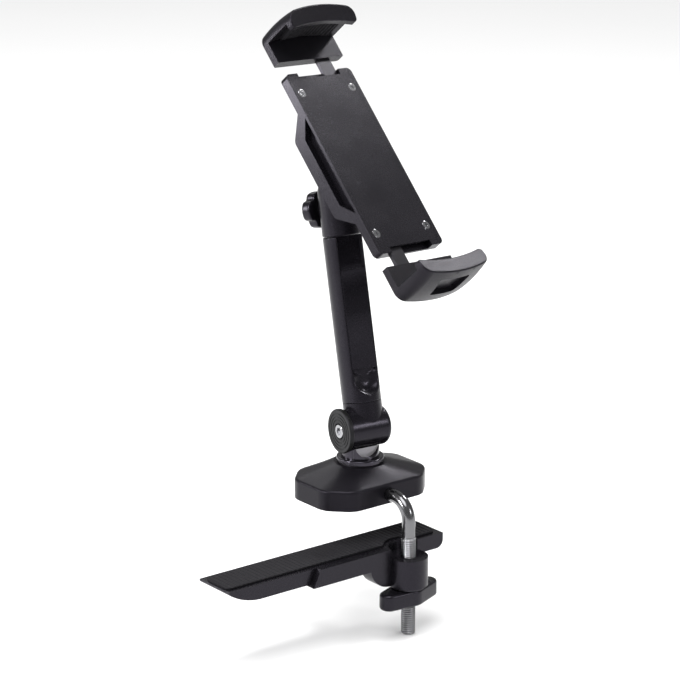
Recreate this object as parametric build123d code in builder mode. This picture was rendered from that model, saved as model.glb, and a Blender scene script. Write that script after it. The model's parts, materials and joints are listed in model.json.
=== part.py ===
from build123d import *
from math import acos, cos, pi, radians, sin, sqrt, tan
import os

os.makedirs("parts", exist_ok=True)

# Desk clamp phone holder, millimetres. The origin is the middle of the base's underside,
# +X runs along the desk's front edge, +Y away from the user, +Z up.

# pose of the joints as pictured, degrees
half_turn = 180.0
turret_turn = -7.0
arm_lean = 13.3
head_turn = 14.6
cradle_tilt = 61.0
wing_turn = 7.0

# end stops of the two tilting joints, degrees from the axis of the piece below
arm_lean_back = 55.0
arm_lean_front = -4.0
tilt_low = 6.0
tilt_high = 89.0

# fits
running_gap = 0.05
ball_gap = 0.08
slip_gap = 0.35
seam_gap = 0.4
face_gap = 0.1
press_gap = 0.02
cut_past = 2.0

# base
base_length = 71.0
base_width = 50.0
base_corner = 12.0
base_corner_round = 11.0
base_rim_round = 1.6
base_wall_top = 11.5
base_top = 18.4
base_ring_radius = 14.6
base_skin = 3.0
pad_thickness = 2.0
pad_stand = 0.6
pad_inset = 1.6
pad_round = 0.5
bolt_pocket_radius = 6.6
bolt_seat = 9.6

# hook bolt
rod_radius = 3.6
thread_radius = 3.95
rod_height = 6.0
rod_reach = 41.6
rod_bend = 11.5
rod_depth = 15.0
rod_cover = 2.0
rod_end_chamfer = 1.0
thread_chamfer = 0.3
thread_top = -13.5
rod_end = -69.0

# lower clamp
desk_gap = 17.6
clamp_pad_thickness = 1.4
bar_left = -117.0
bar_right = 28.0
bar_front = -37.0
bar_depth = 26.0
bar_height = 8.2
bar_end_round = 4.5
tip_run = 23.0
tip_round = 0.8
rib_left = -63.0
rib_slant = 4.6
rib_front = -40.4
rib_thickness = 9.4
rib_drop = 1.4
gusset_run = 14.0
gusset_rise = 0.8
gusset_bulge = 3.4
clamp_pad_margin = 3.0
boss_radius = 10.6
boss_top = -24.4
boss_bottom = -40.4
washer_thickness = 1.2
washer_radius = 9.4
wing_length = 40.0
wing_height = 9.0
wing_width = 10.5
hub_radius = 8.8
wing_blend = 12.0
wing_round = 1.5
nut_width = 13.0
nut_height = 6.5

# turret and lower joint
pivot_height = 37.0
ring_radius = 12.4
ring_thickness = 0.7
flange_radius = 13.0
flange_height = 2.4
flange_round = 0.8
neck_radius = 10.4
scoop_half = 7.6
scoop_rise = 0.4
scoop_face = 6.5
saddle_gap = 0.5
tongue_half = 4.0
tongue_radius = 8.4
tongue_stem_half = 4.0
swivel_radius = 3.0
swivel_thread_radius = 2.9
swivel_reach = 7.0
bolt_head = 3.0
bolt_flange = 1.0
bolt_head_width = 10.0
pivot_radius = 2.5
friction_washer = 0.9
bolt_head_radius = 3.9
bolt_head_height = 1.7
bolt_head_round = 0.5
bolt_proud = 0.2
hex_key = 4.0
hex_depth = 1.2
pivot_nut_width = 8.0
pivot_nut_height = 3.4
pivot_nut_sink = 1.0
barrel_radius = 11.0
barrel_left = -10.8
barrel_right = 14.4
barrel_round = 3.0
cap_radius = 12.2
cap_thickness = 2.6
cap_round = 0.7
cap_rings = 3
cap_ring_first = 2.2
cap_ring_step = 1.7
cap_groove = 0.6
arm_offset = 3.0

# arm
arm_radius = 10.65
tube_start = 14.0
tube_length = 90.0
spigot_radius = 4.5
spigot_length = 14.0
channel_half = 7.7
channel_floor = 5.4
channel_low = 18.6
cover_low = 32.0
cover_top_gap = 18.0
cover_face = 7.2
cover_chamfer = 0.3
tube_chamfer = 0.4

# head
neck_length = 22.6
ball_radius = 7.5
stem_radius = 3.5
stem_slot_gap = 0.5
stem_flange_radius = 5.5
stem_nut_width = 12.0
stem_nut_height = 3.6
plug_length = 9.6
knob_drop = 8.0
knob_radius = 10.0
knob_gap = 0.5
knob_collar = 1.4
knob_thickness = 6.4
knob_skin = 2.4
knob_notch = 3.6
knob_round = 0.7
lock_radius = 2.0
lock_tip = 5.8
wedge_offset = 0.5
knob_lobes = 6

# cradle
cradle_rise = 3.4
cradle_half = 24.5
hump_back = 12.3
plate_back = 23.7
plate_front = 28.9
plate_half = 56.2
hump_half = 23.8
hump_foot = 34.5
hump_skin = 2.4
hump_round = 4.0
plate_round = 3.0
floor_skin = 1.4
lid_thickness = 1.4
lid_half_width = 22.0
lid_half_length = 53.0
lid_round = 2.0
channel_side = 15.4
nut_pocket_width = 24.0
nut_pocket_length = 34.0
side_recess = 4.0
recess_foot = 30.0
recess_crown = 20.5
recess_rise = 7.5
recess_rim = 1.6
screw_across = 38.0
screw_along = 88.0
screw_head_radius = 2.6
screw_head_height = 0.8
screw_radius = 1.5
screw_depth = 3.0

# jaw drive
pinion_teeth = 14
gear_module = 0.7
pressure_angle = 20.0
gear_addendum = 0.7
gear_dedendum = 0.95
gear_backlash = 0.12
axle_radius = 2.0
axle_screw_radius = 0.9
axle_screw_length = 2.4
axle_screw_head_radius = 3.0
axle_screw_head_height = 1.7
rail_gap = 0.2
rail_tang = 3.0
rail_end = 6.0
jaw_out = 40.0
jaw_in = 7.2

# jaws
jaw_leg = 63.9
jaw_wall_in = 76.0
jaw_wall_out = 82.0
jaw_bow = 3.2
jaw_bulge = 0.5
jaw_draft = 1.5
jaw_corner_round = 6.5
jaw_back_round = 1.6
jaw_edge_round = 0.8
jaw_front = 52.0
lip_back = 46.4
lip_inner = 71.2
lip_slope = 3.2
lip_corner_round = 2.0
badge_back_half = 9.0
badge_front_half = 11.5
badge_back_rim = 3.1
badge_front_rim = 6.0
badge_depth = 2.4
badge_round = 1.5
grip_thickness = 2.6
grip_width = 36.0
grip_rim = 2.5

# frames of the moving pieces
up = Vector(0, 0, 1)
turret = Plane(
    origin=(0, 0, 0),
    x_dir=(cos(radians(turret_turn)), sin(radians(turret_turn)), 0),
    z_dir=(0, 0, 1),
)
arm_up = up * cos(radians(arm_lean)) + turret.y_dir * sin(radians(arm_lean))
knuckle = Plane(origin=(0, 0, pivot_height), x_dir=turret.x_dir, z_dir=arm_up)
tube_end = tube_start + tube_length
ball_reach = tube_end + seam_gap + neck_length
arm = Plane(
    origin=knuckle.origin + turret.x_dir * arm_offset, x_dir=turret.x_dir, z_dir=arm_up
)
head_across = arm.x_dir * cos(radians(head_turn)) + arm.y_dir * sin(radians(head_turn))
head = Plane(origin=arm.origin + arm_up * ball_reach, x_dir=head_across, z_dir=arm_up)
facing = head.z_dir * cos(radians(cradle_tilt)) - head.y_dir * sin(radians(cradle_tilt))
stem = Plane(origin=head.origin, x_dir=head_across, z_dir=facing)
cradle = Plane(
    origin=stem.origin + stem.y_dir * cradle_rise, x_dir=head_across, z_dir=facing
)
lower_side = Plane(origin=cradle.origin, x_dir=-cradle.x_dir, z_dir=cradle.z_dir)


def side(frame, x=0.0):
    """The plane across a frame at x, its sketch axes along the frame's y and z."""
    return Plane(
        origin=frame.origin + frame.x_dir * x, x_dir=frame.y_dir, z_dir=frame.x_dir
    )


def face(frame, y=0.0):
    """The plane facing the user at y, its sketch axes along the frame's x and z."""
    return Plane(
        origin=frame.origin + frame.y_dir * y, x_dir=frame.x_dir, z_dir=-frame.y_dir
    )


def octagon(inset=0.0):
    """The base's outline, a rectangle with its corners cut off and softened, drawn in by an inset."""
    Rectangle(base_length, base_width)
    chamfer(sketch_vertices(), length=base_corner)
    fillet(sketch_vertices(), radius=base_corner_round)
    if inset:
        offset(amount=-inset)


def sketch_vertices():
    """The corners of the sketch being drawn."""
    return BuildSketch._get_context().vertices()


# base
rod_inner = -base_width / 2 + rod_depth
with BuildPart() as base_housing:
    with BuildSketch(Plane.XY.offset(pad_stand)):
        octagon()
    extrude(amount=base_wall_top - pad_stand)
    with BuildSketch(Plane.XY.offset(base_wall_top)):
        octagon()
    with BuildSketch(Plane.XY.offset(base_top)):
        Circle(base_ring_radius)
    loft()
    fillet(
        base_housing.edges().filter_by_position(Axis.Z, base_wall_top, base_wall_top),
        radius=base_rim_round,
    )
    with BuildSketch(Plane.XY.offset(pad_stand)):
        octagon(base_skin)
    extrude(amount=base_wall_top - pad_stand - base_skin, mode=Mode.SUBTRACT)
    with BuildSketch(Plane.XY.offset(pad_stand)):
        Circle(bolt_pocket_radius + base_skin)
    extrude(amount=base_top - pad_stand - base_skin)
    with BuildSketch(Plane.XY.offset(pad_stand)):
        with Locations((0, (rod_inner - base_width / 2 + base_skin) / 2)):
            Rectangle(2 * (rod_radius + base_skin), rod_depth)
    extrude(amount=rod_height + rod_radius + rod_cover - pad_stand)
    with BuildSketch(Plane.XY.offset(pad_stand)):
        octagon(pad_inset)
    extrude(amount=pad_thickness - pad_stand, mode=Mode.SUBTRACT)
    with BuildSketch(Plane.XY.offset(pad_stand)):
        Circle(swivel_radius + running_gap)
    extrude(amount=base_top, mode=Mode.SUBTRACT)
    with BuildSketch(Plane.XY.offset(pad_stand)):
        Circle(bolt_pocket_radius)
    extrude(amount=bolt_seat - pad_stand, mode=Mode.SUBTRACT)
    with BuildSketch(Plane.XZ.offset(-rod_inner)):
        with Locations((0, rod_height)):
            Circle(rod_radius + press_gap)
    extrude(amount=rod_depth + base_skin, mode=Mode.SUBTRACT)
base_housing.part.label = "base_housing"
export_step(base_housing.part, "parts/base_housing.step")

with BuildPart() as base_pad:
    with BuildSketch():
        octagon(pad_inset + face_gap)
    extrude(amount=pad_thickness)
    fillet(base_pad.faces().sort_by(Axis.Z)[0].edges(), radius=pad_round)
base_pad.part.label = "base_pad"
export_step(base_pad.part, "parts/base_pad.step")

with BuildPart() as hook_bolt:
    with BuildLine(Plane.YZ) as rod_path:
        Polyline((rod_inner, rod_height), (-rod_reach + rod_bend, rod_height))
        ThreePointArc(
            (-rod_reach + rod_bend, rod_height),
            (
                -rod_reach + rod_bend * (1 - sin(radians(45))),
                rod_height - rod_bend * (1 - cos(radians(45))),
            ),
            (-rod_reach, rod_height - rod_bend),
        )
        Polyline((-rod_reach, rod_height - rod_bend), (-rod_reach, thread_top - rod_radius))
    with BuildSketch(Plane(origin=(0, rod_inner, rod_height), z_dir=(0, -1, 0))):
        Circle(rod_radius)
    sweep(path=rod_path.line)
    with BuildSketch(Plane.XZ.offset(rod_reach)):
        Polygon(
            (0, rod_end),
            (thread_radius - rod_end_chamfer, rod_end),
            (thread_radius, rod_end + rod_end_chamfer),
            (thread_radius, thread_top - thread_chamfer),
            (thread_radius - thread_chamfer, thread_top),
            (0, thread_top),
            align=None,
        )
    revolve(axis=Axis((0, -rod_reach, 0), (0, 0, 1)))
hook_bolt.part.label = "hook_bolt"
export_step(hook_bolt.part, "parts/hook_bolt.step")

with BuildPart() as turret_washer:
    with BuildSketch(Plane.XY.offset(base_top)):
        Circle(ring_radius)
        Circle(swivel_radius + slip_gap, mode=Mode.SUBTRACT)
    extrude(amount=ring_thickness)
turret_washer.part.label = "turret_washer"
export_step(turret_washer.part, "parts/turret_washer.step")

# lower clamp
rod_spot = (0, -rod_reach)
bar_top = -desk_gap - clamp_pad_thickness
bar_bottom = bar_top - bar_height
with BuildPart() as clamp_arm:
    with BuildSketch(Plane.XZ.offset(-bar_front)):
        with BuildLine():
            Polyline(
                (bar_left, bar_top),
                (bar_right, bar_top),
                (bar_right, bar_bottom + bar_end_round),
            )
            RadiusArc(
                (bar_right, bar_bottom + bar_end_round),
                (bar_right - bar_end_round, bar_bottom),
                bar_end_round,
            )
            Polyline((bar_right - bar_end_round, bar_bottom), (bar_left + tip_run, bar_bottom))
            TangentArc((bar_left + tip_run, bar_bottom), (bar_left, bar_top), tangent=(-1, 0))
        make_face()
    extrude(amount=-bar_depth)
    fillet(clamp_arm.edges().filter_by(Axis.Y).sort_by(Axis.X)[0], radius=tip_round)
    with BuildSketch(Plane.XZ.offset(-rib_front)):
        with BuildLine():
            Polyline(
                (rib_left + rib_slant, bar_top),
                (boss_radius / 2, bar_top),
                (boss_radius / 2, boss_bottom + gusset_rise),
                (-boss_radius, boss_bottom + gusset_rise),
            )
            SagittaArc(
                (-boss_radius, boss_bottom + gusset_rise),
                (-boss_radius - gusset_run, bar_bottom - rib_drop),
                gusset_bulge,
            )
            Polyline(
                (-boss_radius - gusset_run, bar_bottom - rib_drop),
                (rib_left, bar_bottom - rib_drop),
                (rib_left + rib_slant, bar_top),
            )
        make_face()
    extrude(amount=-rib_thickness)
    with BuildSketch(Plane.XY.offset(boss_bottom)):
        with Locations(rod_spot):
            Circle(boss_radius)
    extrude(amount=boss_top - boss_bottom)
    with BuildSketch(Plane.XY.offset(boss_top)):
        with Locations(rod_spot):
            Circle(boss_radius + slip_gap)
    extrude(amount=-boss_top, mode=Mode.SUBTRACT)
    with BuildSketch(Plane.XY.offset(boss_bottom)):
        with Locations(rod_spot):
            Circle(thread_radius + slip_gap)
    extrude(amount=boss_top - boss_bottom, mode=Mode.SUBTRACT)
clamp_arm.part.label = "clamp_arm"
export_step(clamp_arm.part, "parts/clamp_arm.step")

with BuildPart() as clamp_pad:
    with BuildSketch(Plane.XY.offset(bar_top)):
        with Locations(((bar_left + bar_right) / 2, bar_front + bar_depth / 2)):
            RectangleRounded(
                bar_right - bar_left - 2 * clamp_pad_margin,
                bar_depth - 2 * clamp_pad_margin,
                clamp_pad_margin,
            )
        with Locations(rod_spot):
            Circle(boss_radius + clamp_pad_margin, mode=Mode.SUBTRACT)
    extrude(amount=clamp_pad_thickness)
clamp_pad.part.label = "clamp_pad"
export_step(clamp_pad.part, "parts/clamp_pad.step")

washer_bottom = boss_bottom - face_gap - washer_thickness
with BuildPart() as thrust_washer:
    with BuildSketch(Plane.XY.offset(washer_bottom)):
        with Locations(rod_spot):
            Circle(washer_radius)
            Circle(thread_radius + slip_gap, mode=Mode.SUBTRACT)
    extrude(amount=washer_thickness)
    chamfer(thrust_washer.edges().group_by(Edge.length)[-1], length=washer_thickness / 4)
thrust_washer.part.label = "thrust_washer"
export_step(thrust_washer.part, "parts/thrust_washer.step")

wing_top = washer_bottom - face_gap
wing = Plane(
    origin=(0, -rod_reach, wing_top),
    x_dir=(cos(radians(wing_turn)), sin(radians(wing_turn)), 0),
    z_dir=(0, 0, 1),
)
nut_bottom = -nut_height - face_gap
with BuildPart() as wing_knob:
    with BuildSketch(wing.offset(-wing_height)):
        Circle(hub_radius)
        SlotOverall(wing_length, wing_width)
        fillet(
            sketch_vertices().filter_by(
                lambda v: abs(Vector(v.X, v.Y).length - hub_radius) < face_gap
            ),
            radius=wing_blend,
        )
    extrude(amount=wing_height)
    fillet(wing_knob.faces().sort_by(Axis.Z)[0].edges(), radius=wing_round)
    fillet(wing_knob.faces().sort_by(Axis.Z)[-1].edges(), radius=wing_round)
    with BuildSketch(wing.offset(nut_bottom)):
        RegularPolygon(nut_width / 2, 6, major_radius=False)
    extrude(amount=-nut_bottom, mode=Mode.SUBTRACT)
    with BuildSketch(wing.offset(-wing_height)):
        Circle(thread_radius + slip_gap)
    extrude(amount=wing_height, mode=Mode.SUBTRACT)
wing_knob.part.label = "wing_knob"
export_step(wing_knob.part, "parts/wing_knob.step")

with BuildPart() as knob_nut:
    with BuildSketch(wing.offset(nut_bottom)):
        RegularPolygon(nut_width / 2, 6, major_radius=False)
        Circle(thread_radius + running_gap, mode=Mode.SUBTRACT)
    extrude(amount=nut_height)
knob_nut.part.label = "knob_nut"
export_step(knob_nut.part, "parts/knob_nut.step")

# turret
flange_bottom = base_top + ring_thickness + face_gap
neck_bottom = flange_bottom + flange_height
pivot_frame = Plane(
    origin=(0, 0, pivot_height), x_dir=turret.x_dir, z_dir=(0, 0, 1)
)
saddle_radius = barrel_radius + saddle_gap
with BuildPart() as turret_post:
    with BuildSketch(turret.offset(neck_bottom)):
        Circle(neck_radius)
    extrude(amount=pivot_height - neck_bottom)
    with BuildSketch(side(pivot_frame)):
        Circle(saddle_radius)
        with Locations((0, saddle_radius)):
            Rectangle(2 * saddle_radius, 2 * saddle_radius)
    extrude(amount=neck_radius, both=True, mode=Mode.SUBTRACT)
    for turn in (1, -1):
        with BuildSketch(face(pivot_frame, -turn * scoop_face)):
            with Locations((0, neck_bottom + scoop_rise + scoop_half - pivot_height)):
                Circle(scoop_half)
            with Locations((0, neck_bottom + scoop_rise + 2 * scoop_half - pivot_height)):
                Rectangle(2 * scoop_half, 2 * scoop_half)
        extrude(amount=turn * neck_radius, mode=Mode.SUBTRACT)
    with BuildSketch(side(pivot_frame, -tongue_half)):
        Circle(tongue_radius)
        with Locations((0, -(pivot_height - neck_bottom) / 2)):
            Rectangle(2 * tongue_stem_half, pivot_height - neck_bottom)
    extrude(amount=2 * tongue_half)
    with BuildSketch(turret.offset(flange_bottom)):
        Circle(flange_radius)
    extrude(amount=flange_height)
    fillet(
        turret_post.edges().filter_by(GeomType.CIRCLE).filter_by(
            lambda e: e.radius > flange_radius - face_gap
        ).sort_by(Axis.Z)[-1],
        radius=flange_round,
    )
    with BuildSketch(side(pivot_frame, -tongue_half)):
        Circle(pivot_radius + running_gap)
    extrude(amount=2 * tongue_half, mode=Mode.SUBTRACT)
    with BuildSketch(turret.offset(flange_bottom)):
        Circle(swivel_thread_radius)
    extrude(amount=swivel_reach + swivel_radius, mode=Mode.SUBTRACT)
turret_post.part.label = "turret_post"
export_step(turret_post.part, "parts/turret_post.step")

with BuildPart() as swivel_bolt:
    with BuildSketch(turret.offset(bolt_seat - face_gap - bolt_flange - bolt_head)):
        RegularPolygon(bolt_head_width / 2, 6, major_radius=False)
    extrude(amount=bolt_head)
    with BuildSketch(turret.offset(bolt_seat - face_gap - bolt_flange)):
        Circle(bolt_pocket_radius - slip_gap)
    extrude(amount=bolt_flange)
    with BuildSketch(turret.offset(bolt_seat - face_gap)):
        Circle(swivel_radius)
    extrude(amount=flange_bottom - bolt_seat + face_gap)
    with BuildSketch(turret.offset(flange_bottom)):
        Circle(swivel_thread_radius)
    extrude(amount=swivel_reach)
swivel_bolt.part.label = "swivel_bolt"
export_step(swivel_bolt.part, "parts/swivel_bolt.step")

# arm
slot_half = tongue_half + friction_washer + face_gap
nut_floor = barrel_right - pivot_nut_sink - pivot_nut_height
cap_face = barrel_left - cap_thickness


def swing_fan(half, low, high, length):
    """The fan that a bar of that half width sweeps about the sketch origin, angles from -y."""
    first = Vector(sin(radians(low)), -cos(radians(low)))
    last = Vector(sin(radians(high)), -cos(radians(high)))
    first_edge = Vector(-cos(radians(low)), -sin(radians(low))) * half
    last_edge = Vector(cos(radians(high)), sin(radians(high))) * half
    Polygon(
        first_edge,
        first_edge + first * length,
        (first + last).normalized() * (2 * length),
        last_edge + last * length,
        last_edge,
        align=None,
    )


with BuildPart() as lower_knuckle:
    with BuildSketch(side(knuckle, barrel_left)):
        Circle(barrel_radius)
    extrude(amount=barrel_right - barrel_left)
    fillet(
        lower_knuckle.edges().filter_by(GeomType.CIRCLE).sort_by(
            Axis(knuckle.origin, knuckle.x_dir)
        )[-1],
        radius=barrel_round,
    )
    with BuildSketch(arm):
        Circle(arm_radius)
    extrude(amount=tube_start)
    with BuildSketch(arm.offset(tube_start)):
        Circle(spigot_radius)
    extrude(amount=spigot_length)
    with BuildSketch(side(knuckle, -slot_half)):
        Circle(tongue_radius + saddle_gap)
        swing_fan(
            tongue_stem_half + saddle_gap, arm_lean_front, arm_lean_back, 2 * barrel_radius
        )
    extrude(amount=2 * slot_half, mode=Mode.SUBTRACT)
    with BuildSketch(side(knuckle, barrel_left)):
        Circle(pivot_radius)
    extrude(amount=barrel_right - barrel_left, mode=Mode.SUBTRACT)
    with BuildSketch(side(knuckle, nut_floor)):
        RegularPolygon(pivot_nut_width / 2, 6, major_radius=False)
    extrude(amount=barrel_right - nut_floor, mode=Mode.SUBTRACT)
lower_knuckle.part.label = "lower_knuckle"
export_step(lower_knuckle.part, "parts/lower_knuckle.step")

with BuildPart() as pivot_cap:
    with BuildSketch(side(knuckle, cap_face)):
        Circle(cap_radius)
        Circle(pivot_radius, mode=Mode.SUBTRACT)
    extrude(amount=cap_thickness)
    fillet(
        pivot_cap.edges().filter_by(GeomType.CIRCLE).filter_by(
            lambda e: e.radius > cap_radius - face_gap
        ),
        radius=cap_round,
    )
    with BuildSketch(side(knuckle, cap_face)):
        Circle(bolt_head_radius + cap_groove)
    extrude(amount=bolt_head_height, mode=Mode.SUBTRACT)
    with BuildSketch(side(knuckle, cap_face)):
        for ring in range(cap_rings):
            Circle(cap_radius - cap_ring_first - ring * cap_ring_step)
            Circle(
                cap_radius - cap_ring_first - ring * cap_ring_step - cap_groove,
                mode=Mode.SUBTRACT,
            )
    extrude(amount=cap_groove / 2, mode=Mode.SUBTRACT)
pivot_cap.part.label = "pivot_cap"
export_step(pivot_cap.part, "parts/pivot_cap.step")

with BuildPart() as pivot_bolt:
    with BuildSketch(side(knuckle, cap_face - bolt_proud)):
        Circle(bolt_head_radius)
    extrude(amount=bolt_head_height + bolt_proud)
    fillet(
        pivot_bolt.edges().sort_by(Axis(knuckle.origin, knuckle.x_dir))[0],
        radius=bolt_head_round,
    )
    with BuildSketch(side(knuckle, cap_face - bolt_proud)):
        RegularPolygon(hex_key / 2, 6, major_radius=False)
    extrude(amount=hex_depth, mode=Mode.SUBTRACT)
    with BuildSketch(side(knuckle, cap_face + bolt_head_height)):
        Circle(pivot_radius)
    extrude(amount=nut_floor + pivot_nut_height - cap_face - bolt_head_height)
pivot_bolt.part.label = "pivot_bolt"
export_step(pivot_bolt.part, "parts/pivot_bolt.step")

with BuildPart() as pivot_nut:
    with BuildSketch(side(knuckle, nut_floor)):
        RegularPolygon(pivot_nut_width / 2, 6, major_radius=False)
        Circle(pivot_radius, mode=Mode.SUBTRACT)
    extrude(amount=pivot_nut_height)
pivot_nut.part.label = "pivot_nut"
export_step(pivot_nut.part, "parts/pivot_nut.step")

with BuildPart() as friction_washers:
    for start in (-slot_half, slot_half - friction_washer):
        with BuildSketch(side(knuckle, start)):
            Circle(tongue_radius)
            Circle(pivot_radius, mode=Mode.SUBTRACT)
        extrude(amount=friction_washer)
friction_washers.part.label = "friction_washers"
export_step(friction_washers.part, "parts/friction_washers.step")

with BuildPart() as arm_tube:
    with BuildSketch(arm.offset(tube_start)):
        Circle(arm_radius)
    extrude(amount=tube_length)
    chamfer(arm_tube.edges().filter_by(GeomType.CIRCLE), length=tube_chamfer)
    with BuildSketch(face(arm, -channel_floor)):
        with Locations((0, channel_low + channel_half)):
            Circle(channel_half)
        with Locations((0, (channel_low + channel_half + tube_end) / 2)):
            Rectangle(2 * channel_half, tube_end - channel_low - channel_half)
    extrude(amount=arm_radius, mode=Mode.SUBTRACT)
    with BuildSketch(arm.offset(tube_start)):
        Circle(spigot_radius)
    extrude(amount=spigot_length + slip_gap, mode=Mode.SUBTRACT)
    with BuildSketch(arm.offset(tube_end)):
        Circle(spigot_radius + running_gap)
    extrude(amount=-spigot_length, mode=Mode.SUBTRACT)
arm_tube.part.label = "arm_tube"
export_step(arm_tube.part, "parts/arm_tube.step")

with BuildPart() as channel_cover:
    with BuildSketch(face(arm, -channel_floor)):
        with Locations((0, (cover_low + tube_end - cover_top_gap) / 2)):
            Rectangle(
                2 * (channel_half - face_gap), tube_end - cover_top_gap - cover_low
            )
    extrude(amount=cover_face - channel_floor)
    chamfer(
        channel_cover.faces().sort_by(Axis(arm.origin, arm.y_dir))[0].edges(),
        length=cover_chamfer,
    )
channel_cover.part.label = "channel_cover"
export_step(channel_cover.part, "parts/channel_cover.step")

# head
seam = -neck_length
socket_radius = ball_radius + ball_gap
cup_top = -stem_radius - stem_slot_gap
cup_bottom = seam + plug_length
with BuildPart() as head_housing:
    with BuildSketch(head.offset(seam)):
        Circle(arm_radius)
    extrude(amount=-seam)
    with BuildSketch(side(head)):
        with BuildLine():
            CenterArc((0, 0), arm_radius, 0, 90)
            Polyline((0, arm_radius), (0, 0), (arm_radius, 0))
        make_face()
    revolve(axis=Axis(head.origin, head.z_dir))
    chamfer(
        head_housing.edges().filter_by(GeomType.CIRCLE).sort_by(
            Axis(head.origin, head.z_dir)
        )[0],
        length=tube_chamfer,
    )
    with BuildSketch(head.offset(seam)):
        Circle(socket_radius)
    extrude(amount=-seam, mode=Mode.SUBTRACT)
    with BuildSketch(side(head)):
        with BuildLine():
            CenterArc((0, 0), socket_radius, 0, 90)
            Polyline((0, socket_radius), (0, 0), (socket_radius, 0))
        make_face()
    revolve(axis=Axis(head.origin, head.z_dir), mode=Mode.SUBTRACT)
    with BuildSketch(side(head)):
        swing_fan(
            stem_radius + stem_slot_gap,
            half_turn + tilt_low,
            half_turn + tilt_high,
            2 * arm_radius,
        )
    extrude(amount=stem_radius + stem_slot_gap, both=True, mode=Mode.SUBTRACT)
    with BuildSketch(face(head, arm_radius)):
        with Locations((0, -knob_drop)):
            Circle(lock_radius + running_gap)
    extrude(amount=arm_radius, mode=Mode.SUBTRACT)
head_housing.part.label = "head_housing"
export_step(head_housing.part, "parts/head_housing.step")

with BuildPart() as clamp_cup:
    with BuildSketch(head.offset(cup_bottom)):
        Circle(socket_radius - running_gap)
    extrude(amount=cup_top - cup_bottom)
    with BuildSketch(side(head)):
        with BuildLine():
            CenterArc((0, 0), socket_radius, -90, 90)
            Polyline((socket_radius, 0), (0, 0), (0, -socket_radius))
        make_face()
    revolve(axis=Axis(head.origin, head.z_dir), mode=Mode.SUBTRACT)
    with BuildSketch(face(head, socket_radius)):
        with Locations((0, -knob_drop - wedge_offset)):
            Circle(lock_radius + 2 * wedge_offset)
    extrude(amount=socket_radius, mode=Mode.SUBTRACT)
clamp_cup.part.label = "clamp_cup"
export_step(clamp_cup.part, "parts/clamp_cup.step")

with BuildPart() as swivel_plug:
    with BuildSketch(head.offset(seam)):
        Circle(socket_radius)
    extrude(amount=plug_length)
    with BuildSketch(head.offset(seam)):
        Circle(spigot_radius)
    extrude(amount=-spigot_length)
    chamfer(
        swivel_plug.edges().filter_by(GeomType.CIRCLE).sort_by(
            Axis(head.origin, head.z_dir)
        )[0],
        length=2 * tube_chamfer,
    )
swivel_plug.part.label = "swivel_plug"
export_step(swivel_plug.part, "parts/swivel_plug.step")

lock_axis = Plane(
    origin=head.origin - head.z_dir * knob_drop, x_dir=head.x_dir, z_dir=head.y_dir
)
knob_near = arm_radius + knob_gap + knob_collar
knob_floor = knob_near + knob_thickness - knob_skin
with BuildPart() as lock_knob:
    with BuildSketch(lock_axis.offset(knob_near)):
        Circle(knob_radius)
        with PolarLocations(knob_radius + knob_notch / 2, knob_lobes, start_angle=half_turn / knob_lobes):
            Circle(knob_notch, mode=Mode.SUBTRACT)
    extrude(amount=knob_thickness)
    fillet(lock_knob.edges(), radius=knob_round)
    with BuildSketch(lock_axis.offset(knob_near - knob_collar)):
        Circle(2 * lock_radius)
    extrude(amount=knob_collar + knob_round)
    with BuildSketch(lock_axis.offset(knob_near - knob_collar)):
        Circle(lock_radius)
    extrude(amount=knob_floor - knob_near + knob_collar, mode=Mode.SUBTRACT)
lock_knob.part.label = "lock_knob"
export_step(lock_knob.part, "parts/lock_knob.step")

with BuildPart() as lock_screw:
    with BuildSketch(lock_axis.offset(lock_tip)):
        Circle(lock_radius)
    extrude(amount=knob_floor - lock_tip)
    chamfer(
        lock_screw.edges().filter_by(GeomType.CIRCLE).sort_by(
            Axis(lock_axis.origin, lock_axis.z_dir)
        )[0],
        length=lock_radius / 2,
    )
lock_screw.part.label = "lock_screw"
export_step(lock_screw.part, "parts/lock_screw.step")

# ball stud
stem_end = hump_back + hump_skin + 2 * face_gap + stem_nut_height
ball_shoulder = sqrt(ball_radius**2 - stem_radius**2)
with BuildPart() as ball_stud:
    with BuildSketch(side(stem)):
        with BuildLine():
            ThreePointArc((0, -ball_radius), (ball_radius, 0), (stem_radius, ball_shoulder))
            Polyline(
                (stem_radius, ball_shoulder),
                (stem_radius, arm_radius + slip_gap),
                (stem_flange_radius, arm_radius + slip_gap),
                (stem_flange_radius, hump_back - face_gap),
                (stem_radius, hump_back - face_gap),
                (stem_radius, stem_end),
                (0, stem_end),
                (0, -ball_radius),
            )
        make_face()
    revolve(axis=Axis(stem.origin, stem.z_dir))
ball_stud.part.label = "ball_stud"
export_step(ball_stud.part, "parts/ball_stud.step")

with BuildPart() as stem_nut:
    with BuildSketch(stem.offset(stem_end - stem_nut_height)):
        RegularPolygon(stem_nut_width / 2, 6, major_radius=False)
        Circle(stem_radius, mode=Mode.SUBTRACT)
    extrude(amount=stem_nut_height)
stem_nut.part.label = "stem_nut"
export_step(stem_nut.part, "parts/stem_nut.step")

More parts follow.
